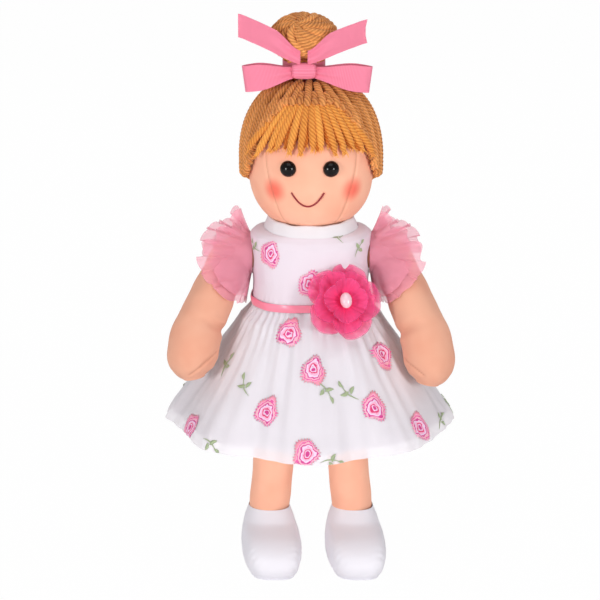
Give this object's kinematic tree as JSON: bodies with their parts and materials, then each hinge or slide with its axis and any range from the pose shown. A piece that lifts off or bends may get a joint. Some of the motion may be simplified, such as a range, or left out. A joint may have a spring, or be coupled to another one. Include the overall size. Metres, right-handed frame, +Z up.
{
  "type": "rag doll",
  "caption": "Standing stuffed rag doll with yarn hair in a bun, ribbon bow, net-over-cotton party dress, frilled sleeves, waist flower and satin shoes.",
  "frame": {"origin": "on the standing surface, midway between the soles, at the centre of the doll's box seen from above", "axes": "+Z up through the head, -Y the way the doll faces, +X its own left side"},
  "size_m": [0.183, 0.171, 0.3531],
  "materials": {
    "skin_velour": "short-pile knitted velour, matt",
    "stuffing": "loose polyester fibre",
    "yarn": "twisted acrylic yarn, ginger brown",
    "fringe_yarn": "twisted acrylic yarn, lighter orange",
    "grosgrain": "ribbed ribbon, slight sheen",
    "satin_ribbon": "satin weave, soft gloss",
    "white_cotton": "plain weave, matt",
    "embroidered_net": "sheer organza with raised embroidered rose sprigs",
    "pink_net": "sheer pleated tulle",
    "white_satin": "satin weave, soft gloss",
    "black_bead": "polished",
    "washer_plastic": "moulded",
    "mouth_thread": "cotton embroidery thread",
    "pink_chiffon": "gathered chiffon, translucent",
    "pearl": "pearlised bead",
    "felt": "pressed felt",
    "closure_tape": "hook-and-loop tape"
  },
  "bodies": {
    "torso": {"torso_skin": "skin_velour", "torso_filling": "stuffing", "collar": "white_cotton", "bodice": "white_cotton", "waist_ribbon": "satin_ribbon", "skirt_overlay": "embroidered_net", "skirt_lining": "white_cotton", "closure_loop_strip": "closure_tape", "closure_hook_strip": "closure_tape", "flower_base": "felt", "flower_outer": "pink_chiffon", "flower_middle": "pink_chiffon", "flower_inner": "pink_chiffon", "flower_bead": "pearl"},
    "neck": {"neck": "skin_velour"},
    "head": {"head_skin": "skin_velour", "head_filling": "stuffing", "eye_left": "black_bead", "eye_right": "black_bead", "eye_washer_left": "washer_plastic", "eye_washer_right": "washer_plastic", "mouth_stitch": "mouth_thread", "hair_cap": "yarn", "fringe": "fringe_yarn", "bun": "yarn", "bow_band": "grosgrain", "bow_knot": "grosgrain", "bow_loop_left": "grosgrain", "bow_loop_right": "grosgrain", "bow_tail_left": "grosgrain", "bow_tail_right": "grosgrain"},
    "arm_left": {"arm_skin_left": "skin_velour", "arm_filling_left": "stuffing", "sleeve_frill_left": "pink_net"},
    "arm_right": {"arm_skin_right": "skin_velour", "arm_filling_right": "stuffing", "sleeve_frill_right": "pink_net"},
    "hips": {"hip_web": "skin_velour"},
    "leg_left": {"leg_skin_left": "skin_velour", "leg_filling_left": "stuffing", "shoe_left": "white_satin"},
    "leg_right": {"leg_skin_right": "skin_velour", "leg_filling_right": "stuffing", "shoe_right": "white_satin"}
  },
  "joints": [
    {"name": "head_turn", "type": "hinge", "parent": "torso", "child": "neck", "pos_m": [0, 0, 0.2134], "axis": [0, 0, 1], "range_deg": [-35, 35]},
    {"name": "head_nod", "type": "hinge", "parent": "neck", "child": "head", "pos_m": [0, 0, 0.2379], "axis": [1, 0, 0], "range_deg": [-8, 8]},
    {"name": "arm_left", "type": "hinge", "parent": "torso", "child": "arm_left", "pos_m": [0.0391, 0, 0.2019], "axis": [-1, 0, 0], "range_deg": [-2, 165]},
    {"name": "arm_right", "type": "hinge", "parent": "torso", "child": "arm_right", "pos_m": [-0.0391, 0, 0.2019], "axis": [-1, 0, 0], "range_deg": [-2, 165]},
    {"name": "sit", "type": "hinge", "parent": "torso", "child": "hips", "pos_m": [0, 0, 0.122], "axis": [-1, 0, 0], "range_deg": [0, 60], "deforming": ["skirt_overlay", "skirt_lining"]},
    {"name": "leg_left", "type": "hinge", "parent": "hips", "child": "leg_left", "pos_m": [0.0185, 0, 0.122], "axis": [-1, 0, 0], "range_deg": [-20, 30]},
    {"name": "leg_right", "type": "hinge", "parent": "hips", "child": "leg_right", "pos_m": [-0.0185, 0, 0.122], "axis": [-1, 0, 0], "range_deg": [-20, 30]}
  ]
}
